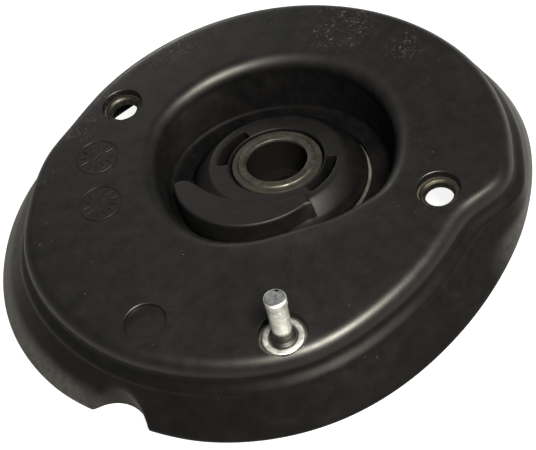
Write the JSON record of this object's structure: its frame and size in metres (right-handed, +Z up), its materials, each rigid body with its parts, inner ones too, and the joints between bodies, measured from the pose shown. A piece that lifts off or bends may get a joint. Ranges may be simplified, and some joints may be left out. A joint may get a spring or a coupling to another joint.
{
  "type": "strut mount",
  "caption": "Shallow rubber-covered dish with an off-centre well, a bonded bush and sleeve, two bolt collars, a stud and a flared skirt.",
  "frame": {"origin": "the middle of the hem's box, in the plane of the hem that the part stands on", "axes": "+Z up, square to the flat top face; +X towards the wider end of the dish; -Y towards the stud's side"},
  "size_m": [0.2376, 0.2129, 0.0537],
  "materials": {
    "black_rubber": "moulded, dusty satin with pale scuffs",
    "bush_rubber": "moulded satin",
    "pressed_steel": "plain pressed sheet",
    "sleeve_steel": "turned, dull brown-grey",
    "collar_steel": "dull, lightly yellowed",
    "zinc_plate": "bright zinc plate"
  },
  "bodies": {
    "root": {"rubber_cover": "black_rubber", "rubber_bush": "bush_rubber", "carrier_plate": "pressed_steel", "bush_shell": "pressed_steel", "inner_sleeve": "sleeve_steel", "left_collar": "collar_steel", "right_collar": "collar_steel", "stud": "zinc_plate", "stud_washer": "zinc_plate"}
  },
  "joints": []
}
